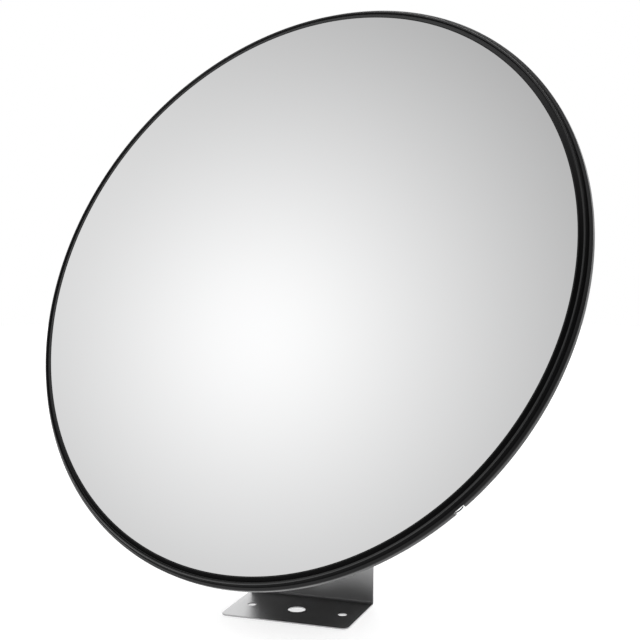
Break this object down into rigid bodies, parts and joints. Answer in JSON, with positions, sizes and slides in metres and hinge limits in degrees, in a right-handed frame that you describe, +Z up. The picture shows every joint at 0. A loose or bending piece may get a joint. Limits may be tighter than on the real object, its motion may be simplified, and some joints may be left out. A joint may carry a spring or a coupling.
{
  "type": "convex security mirror",
  "caption": "Round convex security mirror with a black edge trim, on a pan and tilt joint and a bent steel screw-down bracket.",
  "frame": {"origin": "underside of the bracket's foot, on its centre plane, 18.5 mm behind the row of screw holes", "axes": "+Z up out of the foot along the upright; +X along the foot's width; the mirror faces -Y, turned 13.6 degrees towards -X and tilted 28.1 degrees up"},
  "size_m": [0.4517, 0.2453, 0.4466],
  "materials": {
    "bracket_steel": "satin rolled steel sheet",
    "zinc_steel": "bright zinc-plated steel",
    "black_wire": "blackened steel wire",
    "mirror": "silvered acrylic, polished",
    "black_rubber": "extruded black rubber, semi-gloss",
    "black_plastic": "moulded, fine texture",
    "foam": "closed-cell foam",
    "nylon": "natural nylon"
  },
  "bodies": {
    "bracket": {"bracket": "bracket_steel", "pan_friction_washer": "nylon", "pan_flat_washer": "zinc_steel", "pan_spring_washer": "zinc_steel"},
    "yoke": {"yoke": "zinc_steel", "pan_bolt": "zinc_steel", "tilt_bolt": "zinc_steel", "tilt_friction_washer_left": "nylon", "tilt_friction_washer_right": "nylon", "tilt_flat_washer": "zinc_steel", "tilt_spring_washer": "zinc_steel"},
    "head": {"mirror_dome": "mirror", "foam_gasket": "foam", "back_shell": "black_plastic", "edge_trim": "black_rubber", "trim_staple": "black_wire", "mount_plate": "zinc_steel", "inner_plate": "zinc_steel", "plate_screw_1": "zinc_steel", "plate_screw_2": "zinc_steel", "plate_screw_3": "zinc_steel", "plate_screw_4": "zinc_steel", "plate_nut_1": "zinc_steel", "plate_nut_2": "zinc_steel", "plate_nut_3": "zinc_steel", "plate_nut_4": "zinc_steel"},
    "pan_nut": {"pan_wing_nut": "zinc_steel"},
    "tilt_nut": {"tilt_wing_nut": "zinc_steel"}
  },
  "joints": [
    {"name": "pan", "type": "hinge", "parent": "bracket", "child": "yoke", "pos_m": [0, 0.0353, 0.194], "axis": [0, 0, 1], "range_deg": [-75, 105]},
    {"name": "tilt", "type": "hinge", "parent": "yoke", "child": "head", "pos_m": [0, 0.0353, 0.225], "axis": [-0.972, 0.2351, 0], "range_deg": [-13, 52]},
    {"name": "pan_nut_turn", "type": "hinge", "parent": "yoke", "child": "pan_nut", "pos_m": [0, 0.0353, 0.18], "axis": [0, 0, 1], "continuous": true},
    {"name": "tilt_nut_turn", "type": "hinge", "parent": "yoke", "child": "tilt_nut", "pos_m": [0, 0.0353, 0.225], "axis": [0.972, -0.2351, 0], "continuous": true}
  ]
}
